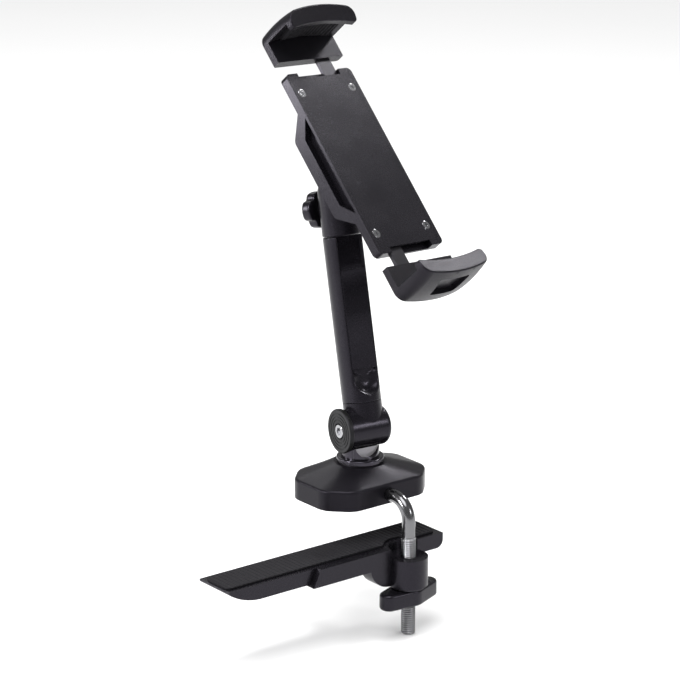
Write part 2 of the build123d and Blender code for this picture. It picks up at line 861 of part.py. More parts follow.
# cradle
rail_floor = plate_back + floor_skin
lid_back = plate_front - lid_thickness
with BuildPart() as back_cover:
    with BuildSketch(side(cradle, -cradle_half)):
        Polygon(
            (-plate_half, plate_back),
            (-hump_foot, plate_back),
            (-hump_half, hump_back),
            (hump_half, hump_back),
            (hump_foot, plate_back),
            (plate_half, plate_back),
            (plate_half, plate_front),
            (-plate_half, plate_front),
            align=None,
        )
    extrude(amount=2 * cradle_half)
    fillet(
        back_cover.edges().filter_by(Axis(cradle.origin, cradle.z_dir)),
        radius=plate_round,
    )
    fillet(
        back_cover.edges().filter_by(Axis(cradle.origin, cradle.x_dir)).group_by(
            Axis(cradle.origin, cradle.z_dir)
        )[0],
        radius=hump_round,
    )
    with BuildSketch(cradle.offset(rail_floor)):
        Rectangle(2 * channel_side, 2 * (plate_half + cut_past))
    extrude(amount=plate_front, mode=Mode.SUBTRACT)
    with BuildSketch(cradle.offset(lid_back)):
        RectangleRounded(2 * lid_half_width, 2 * lid_half_length, lid_round)
    extrude(amount=plate_front, mode=Mode.SUBTRACT)
    with BuildSketch(cradle.offset(hump_back + hump_skin)):
        RectangleRounded(nut_pocket_width, nut_pocket_length, plate_round)
    extrude(amount=plate_front, mode=Mode.SUBTRACT)
    for edge in (-1, 1):
        with BuildSketch(side(cradle, edge * (cradle_half - side_recess))):
            Polygon(
                (-recess_foot, plate_front - recess_rim),
                (-recess_crown, hump_back + recess_rise),
                (recess_crown, hump_back + recess_rise),
                (recess_foot, plate_front - recess_rim),
                align=None,
            )
        extrude(amount=edge * (side_recess + cut_past), mode=Mode.SUBTRACT)
    with BuildSketch(stem.offset(hump_back - cut_past)):
        Circle(stem_radius + running_gap)
    extrude(amount=hump_skin + 2 * cut_past, mode=Mode.SUBTRACT)
    with BuildSketch(cradle.offset(lid_back - screw_depth)):
        with GridLocations(screw_across, screw_along, 2, 2):
            Circle(screw_radius)
    extrude(amount=screw_depth, mode=Mode.SUBTRACT)
back_cover.part.label = "back_cover"
export_step(back_cover.part, "parts/back_cover.step")

head_seat = plate_front - screw_head_height - face_gap
with BuildPart() as front_plate:
    with BuildSketch(cradle.offset(lid_back)):
        RectangleRounded(
            2 * (lid_half_width - face_gap), 2 * (lid_half_length - face_gap), lid_round
        )
        with GridLocations(screw_across, screw_along, 2, 2):
            Circle(screw_radius, mode=Mode.SUBTRACT)
    extrude(amount=lid_thickness)
    with BuildSketch(cradle.offset(head_seat)):
        with GridLocations(screw_across, screw_along, 2, 2):
            Circle(screw_head_radius)
    extrude(amount=plate_front - head_seat, mode=Mode.SUBTRACT)
    with BuildSketch(cradle.offset(rail_floor + face_gap)):
        Circle(axle_radius)
    extrude(amount=lid_back - rail_floor)
    with BuildSketch(cradle.offset(rail_floor + face_gap)):
        Circle(axle_screw_radius)
    extrude(amount=axle_screw_length, mode=Mode.SUBTRACT)
front_plate.part.label = "front_plate"
export_step(front_plate.part, "parts/front_plate.step")

with BuildPart() as cradle_screws:
    with BuildSketch(cradle.offset(head_seat)):
        with GridLocations(screw_across, screw_along, 2, 2):
            Circle(screw_head_radius)
    extrude(amount=screw_head_height)
    with BuildSketch(cradle.offset(lid_back - screw_depth + face_gap)):
        with GridLocations(screw_across, screw_along, 2, 2):
            Circle(screw_radius)
    extrude(amount=head_seat - lid_back + screw_depth - face_gap)
cradle_screws.part.label = "cradle_screws"
export_step(cradle_screws.part, "parts/cradle_screws.step")

axle_end = rail_floor + face_gap
with BuildPart() as pinion_screw:
    with BuildSketch(cradle.offset(axle_end - axle_screw_head_height)):
        Circle(axle_screw_head_radius)
    extrude(amount=axle_screw_head_height)
    with BuildSketch(cradle.offset(axle_end)):
        Circle(axle_screw_radius)
    extrude(amount=axle_screw_length)
pinion_screw.part.label = "pinion_screw"
export_step(pinion_screw.part, "parts/pinion_screw.step")

# jaw drive
pitch_radius = gear_module * pinion_teeth / 2
tooth_pitch = pi * gear_module
rail_back = rail_floor + rail_gap
rail_front = lid_back - rail_gap
rail_root = pitch_radius + gear_dedendum * gear_module
rail_tip = pitch_radius - gear_addendum * gear_module
rail_side = channel_side - slip_gap
alpha = radians(pressure_angle)


def involute_spread(radius):
    """The angle from a tooth's middle to its flank at that radius."""
    base = pitch_radius * cos(alpha)
    angle = acos(min(1.0, base / radius))
    half = (tooth_pitch - gear_backlash) / (4 * pitch_radius)
    return half + (tan(alpha) - alpha) - (tan(angle) - angle)


def tooth_outline():
    """The pinion's outline, a gap on its x axis, each flank an involute of the pitch circle."""
    tip = pitch_radius + gear_addendum * gear_module
    root = pitch_radius - gear_dedendum * gear_module
    base = pitch_radius * cos(alpha)
    radii = [base + (tip - base) * step / 4 for step in range(5)]
    points = []
    for tooth in range(pinion_teeth):
        middle = 2 * pi * (tooth + 0.5) / pinion_teeth
        rising = [(root, middle - involute_spread(base))]
        rising += [(r, middle - involute_spread(r)) for r in radii]
        falling = [(r, middle + involute_spread(r)) for r in reversed(radii)]
        falling += [(root, middle + involute_spread(base))]
        points += [(r * cos(a), r * sin(a)) for r, a in rising + falling]
    return points


with BuildPart() as sync_pinion:
    with BuildSketch(cradle.offset(rail_back)):
        Polygon(*tooth_outline(), align=None)
        Circle(axle_radius + running_gap, mode=Mode.SUBTRACT)
    extrude(amount=rail_front - rail_back)
sync_pinion.part.label = "sync_pinion"
export_step(sync_pinion.part, "parts/sync_pinion.step")


def rail(frame):
    """A jaw's sliding bar on the +x side of its frame, toothed toward the pinion."""
    half = (tooth_pitch - gear_backlash) / 4
    tip_half = half - gear_addendum * gear_module * tan(alpha)
    root_half = half + gear_dedendum * gear_module * tan(alpha)
    first = -int((jaw_out + rail_end) / tooth_pitch)
    last = int((jaw_in + rail_end) / tooth_pitch)
    low = (first - 0.5) * tooth_pitch
    high = jaw_leg + rail_tang
    outline = [(rail_side, high), (rail_side, low), (rail_root, low)]
    for tooth in range(first, last + 1):
        middle = tooth * tooth_pitch
        outline += [
            (rail_root, middle - root_half),
            (rail_tip, middle - tip_half),
            (rail_tip, middle + tip_half),
            (rail_root, middle + root_half),
        ]
    outline += [(rail_root, high)]
    with BuildPart() as piece:
        with BuildSketch(frame.offset(rail_back)):
            Polygon(*outline, align=None)
        extrude(amount=rail_front - rail_back)
    return piece.part


top_rail = rail(cradle)
top_rail.label = "top_rail"
export_step(top_rail, "parts/top_rail.step")

bottom_rail = rail(lower_side)
bottom_rail.label = "bottom_rail"
export_step(bottom_rail, "parts/bottom_rail.step")


def bowed(rim, half, low):
    """The area below an arc that bows outward from the given height at its two ends."""
    with BuildLine() as outline:
        ThreePointArc((-half, rim), (0, rim + jaw_bow), (half, rim))
        Polyline((half, rim), (half, low), (-half, low), (-half, rim))
    make_face(outline.edges())


def hook(frame):
    """A jaw: back leg, bowed end wall and front lip around the edge of the device."""
    crown = jaw_wall_out + jaw_bow
    bow_radius = (cradle_half**2 + jaw_bow**2) / (2 * jaw_bow)
    wide = cradle_half + cut_past
    low = jaw_leg - cut_past
    with BuildPart() as piece:
        with BuildSketch(side(frame)):
            with BuildLine():
                Polyline(
                    (crown - jaw_draft, jaw_front),
                    (lip_inner, jaw_front - lip_slope),
                    (low, jaw_front - lip_slope),
                    (low, plate_back),
                    (crown, plate_back),
                )
                ThreePointArc(
                    (crown, plate_back),
                    (crown + jaw_bulge, (plate_back + jaw_front) / 2),
                    (crown - jaw_draft, jaw_front),
                )
            make_face()
        revolve(axis=Axis(frame.origin + frame.y_dir * (crown - bow_radius), frame.z_dir))
        with BuildSketch(frame.offset(plate_back)):
            with Locations((0, jaw_leg)):
                Rectangle(2 * cradle_half, crown, align=(Align.CENTER, Align.MIN))
        extrude(amount=jaw_front, mode=Mode.INTERSECT)
        outer = piece.faces().sort_by(Axis(frame.origin, frame.y_dir))[-1]
        fillet(
            outer.edges().filter_by(
                lambda edge: abs(frame.to_local_coords(edge.center()).X) > jaw_corner_round
            ),
            radius=jaw_corner_round,
        )
        back = piece.faces().sort_by(Axis(frame.origin, frame.z_dir))[0]
        fillet(
            back.edges().sort_by(Axis(frame.origin, frame.y_dir))[1:],
            radius=jaw_back_round,
        )
        with BuildSketch(frame.offset(plate_front)):
            bowed(jaw_wall_in, wide, low)
        extrude(amount=lip_back - plate_front, mode=Mode.SUBTRACT)
        with BuildSketch(frame.offset(lip_back)):
            bowed(lip_inner, wide, low)
        extrude(amount=jaw_front, mode=Mode.SUBTRACT)
        fillet(
            piece.edges().filter_by(Axis(frame.origin, frame.z_dir)).filter_by(
                lambda edge: frame.to_local_coords(edge.center()).Z > lip_back
            ),
            radius=lip_corner_round,
        )
        front = piece.faces().sort_by(Axis(frame.origin, frame.z_dir))[-1]
        fillet(front.edges(), radius=jaw_edge_round)
        with BuildSketch(face(frame, crown - badge_depth)):
            with BuildLine():
                Polyline(
                    (-badge_back_half, plate_front + badge_back_rim),
                    (badge_back_half, plate_front + badge_back_rim),
                    (badge_front_half, jaw_front - badge_front_rim),
                    (-badge_front_half, jaw_front - badge_front_rim),
                    close=True,
                )
            make_face()
            fillet(sketch_vertices(), radius=badge_round)
        extrude(amount=-2 * badge_depth, mode=Mode.SUBTRACT)
        with BuildSketch(frame.offset(rail_back)):
            with Locations(((rail_root + rail_side) / 2, jaw_leg)):
                Rectangle(rail_side - rail_root, 2 * rail_tang)
        extrude(amount=rail_front - rail_back, mode=Mode.SUBTRACT)
    return piece.part


top_jaw = hook(cradle)
top_jaw.label = "top_jaw"
export_step(top_jaw, "parts/top_jaw.step")

bottom_jaw = hook(lower_side)
bottom_jaw.label = "bottom_jaw"
export_step(bottom_jaw, "parts/bottom_jaw.step")


def grip(frame):
    """The soft strip on the inside of a jaw's end wall."""
    wide = cradle_half + cut_past
    with BuildPart() as piece:
        with BuildSketch(frame.offset(plate_front + grip_rim)):
            bowed(jaw_wall_in, wide, jaw_leg)
            with BuildSketch(frame.offset(plate_front + grip_rim), mode=Mode.SUBTRACT):
                bowed(jaw_wall_in - grip_thickness, wide, jaw_leg)
            with Locations((0, jaw_wall_in)):
                Rectangle(grip_width, jaw_wall_in - jaw_leg, mode=Mode.INTERSECT)
        extrude(amount=lip_back - plate_front - 2 * grip_rim)
    return piece.part


top_grip = grip(cradle)
top_grip.label = "top_grip"
export_step(top_grip, "parts/top_grip.step")

bottom_grip = grip(lower_side)
bottom_grip.label = "bottom_grip"
export_step(bottom_grip, "parts/bottom_grip.step")
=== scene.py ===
import bpy
import json
import numpy as np
from mathutils import Matrix, Vector


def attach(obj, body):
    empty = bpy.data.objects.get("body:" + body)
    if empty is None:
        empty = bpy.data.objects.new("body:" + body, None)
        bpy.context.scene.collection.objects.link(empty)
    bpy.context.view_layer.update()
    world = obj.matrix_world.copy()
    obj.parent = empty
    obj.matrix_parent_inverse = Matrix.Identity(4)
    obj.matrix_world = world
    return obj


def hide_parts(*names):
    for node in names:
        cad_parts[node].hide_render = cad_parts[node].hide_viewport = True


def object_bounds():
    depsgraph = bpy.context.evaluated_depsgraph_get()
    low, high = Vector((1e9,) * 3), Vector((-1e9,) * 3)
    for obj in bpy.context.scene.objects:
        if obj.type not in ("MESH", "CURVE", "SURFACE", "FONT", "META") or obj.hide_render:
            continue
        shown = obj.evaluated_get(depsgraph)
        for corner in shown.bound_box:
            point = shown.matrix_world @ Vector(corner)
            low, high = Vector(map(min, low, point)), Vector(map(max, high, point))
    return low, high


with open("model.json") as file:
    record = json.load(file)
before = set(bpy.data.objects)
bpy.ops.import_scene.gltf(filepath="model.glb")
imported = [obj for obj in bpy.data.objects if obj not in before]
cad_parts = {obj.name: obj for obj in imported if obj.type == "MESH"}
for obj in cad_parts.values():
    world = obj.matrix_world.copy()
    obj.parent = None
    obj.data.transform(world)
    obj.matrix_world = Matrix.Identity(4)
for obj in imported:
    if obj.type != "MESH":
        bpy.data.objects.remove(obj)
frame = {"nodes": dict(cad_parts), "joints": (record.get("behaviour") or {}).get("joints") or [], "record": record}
cad_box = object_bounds()
MM = 0.001
slot_of = {row["node"]: row["material_slot"] for row in frame["record"]["subparts"]}
body_of = {
    node: body for body, nodes in frame["record"]["behaviour"]["bodies"].items() for node in nodes
}


class Value:
    """A shader socket that takes part in Python sums, each operator adding one Math node."""

    def __init__(self, finish, socket):
        self.finish = finish
        self.socket = socket

    def maths(self, operation, first, second):
        """One Math node on two values."""
        return self.finish.node("ShaderNodeMath", {"operation": operation}, [first, second])

    def __add__(self, other):
        return self.maths("ADD", self, other)

    __radd__ = __add__

    def __mul__(self, other):
        return self.maths("MULTIPLY", self, other)

    __rmul__ = __mul__

    def __sub__(self, other):
        return self.maths("SUBTRACT", self, other)

    def __rsub__(self, other):
        return self.maths("SUBTRACT", other, self)


class Finish:
    """A material being written: its node tree, its Principled shader and a way to add nodes."""

    def __init__(self, name):
        self.material = bpy.data.materials.new(name)
        self.material.use_nodes = True
        self.tree = self.material.node_tree
        self.shader = self.tree.nodes["Principled BSDF"]

    def node(self, kind, settings=None, sockets=None, output=0):
        """Add a node: its settings first, then values or links for its sockets by name or place."""
        new = self.tree.nodes.new(kind)
        for key, value in (settings or {}).items():
            setattr(new, key, value)
        pairs = sockets.items() if isinstance(sockets, dict) else enumerate(sockets or [])
        for key, value in pairs:
            if isinstance(value, Value):
                self.tree.links.new(value.socket, new.inputs[key])
            else:
                new.inputs[key].default_value = value
        return Value(self, new.outputs[output])

    def where(self):
        """The point of the surface in metres, in the object's own frame."""
        return self.node("ShaderNodeTexCoord", output="Object")

    def reach(self, place, direction):
        """How far a place lies along a direction, in metres."""
        return self.node(
            "ShaderNodeVectorMath", {"operation": "DOT_PRODUCT"}, [place, direction], "Value"
        )

    def noise(self, place, scale, detail=2.0, rough=0.5):
        """Cloudy noise at a place, so many cells to the metre."""
        return self.node(
            "ShaderNodeTexNoise", None,
            {"Vector": place, "Scale": scale, "Detail": detail, "Roughness": rough},
        )

    def above(self, value, low, high):
        """How far a value lies between two levels, from 0 to 1."""
        return self.node(
            "ShaderNodeMapRange", {"interpolation_type": "SMOOTHSTEP"},
            {"Value": value, "From Min": low, "From Max": high},
        )

    def colour(self, factor, first, second):
        """The mix of two colours by a factor."""
        return self.node(
            "ShaderNodeMix", {"data_type": "RGBA"}, {0: factor, 6: first, 7: second}, output=2
        )

    def bump(self, height, depth):
        """A normal tipped by a height, whose full step is so many metres."""
        return self.node("ShaderNodeBump", None, {"Distance": depth, "Height": height})

    def set(self, **sockets):
        """Feed the Principled shader, a plain number or colour straight into its socket."""
        for key, value in sockets.items():
            target = self.shader.inputs[key.replace("_", " ")]
            if isinstance(value, Value):
                self.tree.links.new(value.socket, target)
            else:
                target.default_value = value
        return self.material


def grey(level, warm=0.0, cool=0.0):
    """A nearly neutral colour of one brightness, a little warm or cool."""
    return (level * (1 + warm), level, level * (1 + cool), 1.0)


def dimmed(tint, share):
    """A colour with a share of its brightness."""
    return tuple(share * channel for channel in tint[:3]) + (1.0,)


# patterns of the plastic: cells to the metre, levels between which dust shows, and the swing that
# each pattern gives to tone and to roughness
DRIFT_CELLS, RUB_CELLS, RUB_FROM, RUB_FULL = 40, 210, 0.60, 0.78
DRIFT_TONE, RUB_TONE, DRIFT_ROUGH, GRAIN_ROUGH, RUB_ROUGH = 0.75, 0.3, 0.12, 0.20, 0.06
SHEEN = (0.88, 0.82, 1.0, 1.0)
# painted sheen on the turret's flat faces: width of the band that counts as the flat, and the share and swing of
# the paler painted colour
FLAT_BAND, FLAT_SHEEN_SHARE, FLAT_SHEEN_DRIFT = 0.00002, 0.6, 0.6

# patterns of the plating, in the same order, and the height over which the painted shade on the rod above the
# thread takes over
LINE_CELLS, MOTTLE_CELLS, SPECK_CELLS, SPECK_FROM, SPECK_FULL = 1400, 150, 620, 0.58, 0.75
LINE_TONE, MOTTLE_TONE, SPECK_TONE, DULL_SHARE = 0.45, 0.35, 0.35, 0.62
LINE_ROUGH, MOTTLE_ROUGH, SPECK_ROUGH, LINE_DEPTH = 0.14, 0.12, 0.18, 0.000015
UP, PAINTED_DARK_EDGE = (0.0, 0.0, 1.0), 0.0002


def moulded(name, dark, light, rough, grain_size, grain_depth, gloss, sheen_flats=None):
    """Moulded plastic: spark-eroded grain, slow drifts of tone and gloss, and a rub of dust; faces that lie a
    given way out along a direction, on either side, get a painted sheen: a paler colour painted on them that
    stands in for the reflection they catch."""
    finish = Finish(name)
    place = finish.where()
    drift = finish.noise(place, DRIFT_CELLS, 3)
    grain = finish.noise(place, 1 / grain_size, 3, 0.65)
    rub = finish.above(finish.noise(place, RUB_CELLS, 5, 0.7), RUB_FROM, RUB_FULL)
    tone = finish.colour(DRIFT_TONE * drift + RUB_TONE * rub, dark, light)
    # painted sheen: the flat faces are mixed towards a paler colour that stands in for their reflection
    if sheen_flats:
        direction, way_out, pale = sheen_flats
        reach = finish.reach(place, direction)
        away = finish.node("ShaderNodeMath", {"operation": "ABSOLUTE"}, [reach])
        on_sheen_flat = finish.node(
            "ShaderNodeMath", {"operation": "COMPARE"}, [away, way_out, FLAT_BAND]
        )
        tone = finish.colour(on_sheen_flat * (FLAT_SHEEN_SHARE + FLAT_SHEEN_DRIFT * drift), tone, pale)
    return finish.set(
        Base_Color=tone,
        Roughness=(
            rough + DRIFT_ROUGH * (drift - 0.5) + GRAIN_ROUGH * (grain - 0.5) + RUB_ROUGH * rub
        ),
        Normal=finish.bump(grain, grain_depth),
        Specular_IOR_Level=gloss,
        Specular_Tint=SHEEN,
    )


def plated(name, tint, rough, stretch, painted_dark_above=None):
    """Plated steel: fine drawing streaks, a faint mottle and duller specks; above a given height the colour is
    painted darker, to a given share of the plating's brightness, as painted shade standing in for the darker
    reflection on the plain rod."""
    finish = Finish(name)
    place = finish.where()
    along = finish.node("ShaderNodeVectorMath", {"operation": "MULTIPLY"}, [place, stretch])
    lines = finish.noise(along, LINE_CELLS, 3, 0.6)
    mottle = finish.noise(place, MOTTLE_CELLS, 3)
    specks = finish.above(finish.noise(place, SPECK_CELLS, 4, 0.7), SPECK_FROM, SPECK_FULL)
    wear = LINE_TONE * lines + MOTTLE_TONE * mottle + SPECK_TONE * specks
    tone = finish.colour(wear, tint, dimmed(tint, DULL_SHARE))
    # painted shade: above the height the colour falls to a share of its brightness
    if painted_dark_above:
        height, share = painted_dark_above
        level = finish.reach(place, UP)
        painted_dark_mask = finish.above(level, height - PAINTED_DARK_EDGE, height + PAINTED_DARK_EDGE)
        tone = finish.colour(painted_dark_mask, tone, dimmed(tint, share))
    return finish.set(
        Base_Color=tone,
        Metallic=1.0,
        Roughness=(
            rough + LINE_ROUGH * (lines - 0.5) + MOTTLE_ROUGH * (mottle - 0.5)
            + SPECK_ROUGH * specks
        ),
        Normal=finish.bump(lines, LINE_DEPTH),
    )


joint = {row["name"]: row for row in frame["joints"]}
arm_across = -np.array(joint["arm_tilt"]["axis"])
turret_front = (arm_across[1], -arm_across[0], 0.0)
# how far out the turret's flat faces lie, and the paler colour painted on them as a painted sheen
SCOOP_FACE, SCOOP_PAINTED_SHEEN = 0.0065, grey(0.30, 0.02, 0.04)
BLACK = grey(0.0038, 0.10, 0.30), grey(0.0072, 0.10, 0.30)
JAW_BLACK = grey(0.0036, 0.08, 0.26), grey(0.0076, 0.08, 0.26)
CAP_GREY = grey(0.0060, -0.06, -0.10), grey(0.0105, -0.06, -0.10)
NYLON = grey(0.0050), grey(0.0090)
RUBBER = grey(0.0060), grey(0.0120)
COATING = grey(0.0060), grey(0.0100)
# the last is the share of brightness left on the rod above the thread, a painted shade for its darker reflection
DRAWN_ALONG, THREAD_TOP, PAINTED_DARK_SHARE = (1.0, 1.0, 0.06), -13.5, 0.40

satin_black = moulded(
    "satin_black_plastic", *BLACK,
    rough=0.26, grain_size=0.00045, grain_depth=0.000015, gloss=0.24,
)
grained_black = moulded(
    "grained_jaw_plastic", *JAW_BLACK,
    rough=0.36, grain_size=0.00060, grain_depth=0.00008, gloss=0.19,
)
cap_grey = moulded(
    "grey_cap_plastic", *CAP_GREY,
    rough=0.40, grain_size=0.00040, grain_depth=0.00003, gloss=0.17,
)
eroded_black = moulded(
    "eroded_base_plastic", *BLACK,
    rough=0.36, grain_size=0.00045, grain_depth=0.000015, gloss=0.15,
)
slide_nylon = moulded(
    "rail_nylon", *NYLON,
    rough=0.34, grain_size=0.00050, grain_depth=0.00003, gloss=0.40,
)
# the turret's flats carry a painted sheen, a paler colour standing in for the reflection on them
turret_with_painted_sheen = moulded(
    "turret_plastic_painted_sheen", *BLACK,
    rough=0.18, grain_size=0.00045, grain_depth=0.00001, gloss=0.50,
    sheen_flats=(turret_front, SCOOP_FACE, SCOOP_PAINTED_SHEEN),
)
matt_rubber = moulded(
    "matt_rubber", *RUBBER,
    rough=0.70, grain_size=0.00035, grain_depth=0.00008, gloss=0.25,
)
black_steel = moulded(
    "black_coated_steel", *COATING,
    rough=0.30, grain_size=0.00030, grain_depth=0.00001, gloss=0.45,
)
zinc = plated("zinc_plated_steel", (0.38, 0.38, 0.395, 1), rough=0.20, stretch=DRAWN_ALONG)
# above the thread the rod is painted darker, a painted shade standing in for its darker reflection
zinc_rod = plated(
    "zinc_plated_rod", (0.40, 0.40, 0.415, 1),
    rough=0.20, stretch=DRAWN_ALONG, painted_dark_above=(THREAD_TOP * MM, PAINTED_DARK_SHARE),
)

finish_of_slot = {
    "black_plastic": satin_black,
    "grey_cap": cap_grey,
    "hard_plastic": slide_nylon,
    "soft_rubber": matt_rubber,
    "bright_steel": zinc,
    "black_metal": black_steel,
}
finish_of_node = {
    "hook_bolt": zinc_rod,
    "base_housing": eroded_black,
    "turret_post": turret_with_painted_sheen,
    "top_jaw": grained_black,
    "bottom_jaw": grained_black,
}
for node, slot in slot_of.items():
    mesh = frame["nodes"][node].data
    mesh.materials.clear()
    mesh.materials.append(finish_of_node.get(node, finish_of_slot[slot]))


SHARP_FROM = np.radians(38)


def skin(node, *stacks):
    """Stand for a node with closed skins, each over a stack of rings of points in millimetres.

    Neighbouring rings are joined by quads and each end ring by a fan to its middle, wound so that
    the volume each skin encloses comes out positive.
    """
    points = []
    faces = []
    start = 0
    for rings in stacks:
        count, around = rings.shape[:2]
        corners = np.vstack([rings.reshape(-1, 3), rings[0].mean(0), rings[-1].mean(0)])
        ring = np.arange(around)
        after = np.roll(ring, -1)
        row = np.arange(count - 1)[:, None] * around
        quads = np.stack([row + ring, row + after, row + around + after, row + around + ring], -1)
        last = (count - 1) * around
        near_tip = np.full(around, count * around)
        near = np.stack([after, ring, near_tip], -1)
        far = np.stack([last + ring, last + after, near_tip + 1], -1)
        quads = quads.reshape(-1, 4)
        triangles = np.vstack([quads[:, [0, 1, 2]], quads[:, [0, 2, 3]], near, far])
        a, b, c = (corners[triangles[:, k]] - corners.mean(0) for k in range(3))
        turn = 1 if np.einsum("ij,ij->", a, np.cross(b, c)) > 0 else -1
        points.append(corners)
        for block in (quads, near, far):
            faces.extend((block[:, ::turn] + start).tolist())
        start += len(corners)
    mesh = bpy.data.meshes.new("shaped_" + node)
    mesh.from_pydata(np.vstack(points) * MM, [], faces)
    mesh.shade_smooth()
    mesh.set_sharp_from_angle(angle=SHARP_FROM)
    mesh.materials.append(finish_of_node.get(node, finish_of_slot[slot_of[node]]))
    piece = bpy.data.objects.new("shaped_" + node, mesh)
    bpy.context.scene.collection.objects.link(piece)
    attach(piece, body_of[node])
    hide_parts(node)


def full_turn(count):
    """Evenly spaced angles once round, without the last."""
    return np.linspace(0, 2 * np.pi, count, endpoint=False)


def loop(count, power):
    """A rounded square in the unit box as two arrays: a superellipse of the given power."""
    turn = full_turn(count)
    wide = np.sign(np.cos(turn)) * np.abs(np.cos(turn)) ** (2 / power)
    tall = np.sign(np.sin(turn)) * np.abs(np.sin(turn)) ** (2 / power)
    return wide, tall


def rounded_end(distance, radius):
    """How far a width changes near a rounded end: by nothing from the radius inwards, falling along
    a quarter circle to less the radius at the tip."""
    depth = np.clip(1 - distance / radius, 0, 1)
    return radius * (np.sqrt(1 - depth**2) - 1)


# hook bolt: a plain bent rod with a rolled thread on its leg
ROD_RADIUS, ROD_HEIGHT, ROD_INNER, ROD_REACH, ROD_BEND = 3.6, 6.0, -10.0, 41.6, 11.5
THREAD_CREST, THREAD_ROOT, THREAD_PITCH, ROD_END, END_CHAMFER = 3.95, 3.38, 1.25, -69.0, 1.0
FLANK_STEEP, ROOT_FLAT, PITCH_STEPS, RUN_OUT = 1.35, 0.12, 10, 0.01


def hook_rod():
    """Circles carried along a line, a quarter bend and a line; below THREAD_TOP the radius follows
    a tooth that climbs one pitch with each turn round the rod."""
    bend = np.linspace(0, np.pi / 2, 48)
    line_end = -ROD_REACH + ROD_BEND
    leg_top = ROD_HEIGHT - ROD_BEND
    leg = np.concatenate([
        np.linspace(leg_top, THREAD_TOP, 8)[1:],
        np.arange(THREAD_TOP - RUN_OUT, ROD_END, -THREAD_PITCH / PITCH_STEPS),
        [ROD_END],
    ])
    y = np.concatenate([
        [ROD_INNER], line_end - ROD_BEND * np.sin(bend), np.full(leg.size, -ROD_REACH),
    ])
    z = np.concatenate([[ROD_HEIGHT], leg_top + ROD_BEND * np.cos(bend), leg])
    lean = np.concatenate([[0.0], bend, np.full(leg.size, np.pi / 2)])[:, None]
    turn = full_turn(48)
    climb = np.mod(z[:, None] / THREAD_PITCH + turn / (2 * np.pi), 1)
    tooth = np.clip(FLANK_STEEP * (1 - np.abs(2 * climb - 1)) - ROOT_FLAT, 0, 1)
    thread = THREAD_ROOT + (THREAD_CREST - THREAD_ROOT) * tooth
    run_in = np.clip((THREAD_TOP - z[:, None]) / THREAD_PITCH, 0, 1)
    chamfer = THREAD_CREST - END_CHAMFER + (z[:, None] - ROD_END)
    thread = np.minimum(THREAD_CREST * (1 - run_in) + thread * run_in, chamfer)
    radius = np.where(z[:, None] < THREAD_TOP, thread, ROD_RADIUS)
    rise = radius * np.sin(turn)
    return np.stack([
        radius * np.cos(turn), y[:, None] - rise * np.sin(lean), z[:, None] + rise * np.cos(lean),
    ], -1)


skin("hook_bolt", hook_rod())

# wing knob under the clamp
WING_HALF, WING_END, WING_HUB, WING_ROUND, WING_TURN = 20.0, 5.25, 8.8, 1.5, 7.0
WING_LOW, WING_TOP, NUT_HALF, POCKET_FLOOR = -50.8, -41.8, 6.55, -48.5


def winged_knob():
    """From the floor of the nut's six-sided pocket up its walls, out over the top and down the
    side: the outline at each direction is the far point of the hub's circle or of an end circle,
    whichever reaches further, so straight flanks join them."""
    turn = full_turn(240)
    cosine, sine = np.cos(turn), np.sin(turn)
    shift = WING_HALF - WING_END
    at_hub = WING_HUB > shift * np.abs(cosine) + WING_END
    middle = np.where(at_hub, 0, shift * np.sign(cosine))
    rounding = np.linspace(0, np.pi / 2, 9)
    upper = WING_ROUND * (1 - np.sin(rounding))
    inset = np.concatenate([upper, upper[::-1]])[:, None]
    level = np.concatenate([
        WING_TOP - WING_ROUND * (1 - np.cos(rounding)),
        WING_LOW + WING_ROUND * (1 - np.cos(rounding[::-1])),
    ])
    reach = np.where(at_hub, WING_HUB, WING_END) - inset
    across, out = middle + reach * cosine, reach * sine
    hexagon = NUT_HALF / np.cos(np.mod(turn, np.pi / 3) - np.pi / 6)
    across = np.vstack([hexagon * cosine, hexagon * cosine, across])
    out = np.vstack([hexagon * sine, hexagon * sine, out])
    z = np.concatenate([[POCKET_FLOOR, WING_TOP], level])[:, None]
    lean_x, lean_y = np.cos(np.radians(WING_TURN)), np.sin(np.radians(WING_TURN))
    return np.stack([
        across * lean_x - out * lean_y, across * lean_y + out * lean_x - ROD_REACH, z + 0 * out,
    ], -1)


skin("wing_knob", winged_knob())

# rubber pad of the lower clamp
PAD_LEFT, PAD_RIGHT, PAD_FRONT, PAD_BACK = -114.0, 25.0, -34.0, -14.0
PAD_LOW, PAD_TOP, PAD_ROUND, PAD_EDGE_POWER, BOSS_CLEAR = -19.0, -17.6, 3.0, 9, 13.6
PAD_RIB_PITCH, PAD_RIB_DEPTH, PAD_RIB_POWER = 2.8, 0.45, 3


def ribbed_pad():
    """Rounded bars carried along the clamp, their top sinking in a cosine between the ribs, the
    front edge drawn back round the boss."""
    x = np.linspace(PAD_LEFT, PAD_RIGHT, 560)[:, None]
    ends = rounded_end(np.minimum(x - PAD_LEFT, PAD_RIGHT - x), PAD_ROUND)
    notch = -ROD_REACH + np.sqrt(np.clip(BOSS_CLEAR**2 - x**2, 0, None))
    front = np.maximum(PAD_FRONT - ends, notch)
    back = PAD_BACK + ends
    groove = (0.5 - 0.5 * np.cos(2 * np.pi * x / PAD_RIB_PITCH)) ** PAD_RIB_POWER
    top = PAD_TOP - PAD_RIB_DEPTH * groove
    wide, tall = loop(40, PAD_EDGE_POWER)
    y = (front + back) / 2 + (back - front) / 2 * wide
    z = (PAD_LOW + top) / 2 + (top - PAD_LOW) / 2 * tall
    return np.stack([x + 0 * y, y, z], -1)


skin("clamp_pad", ribbed_pad())

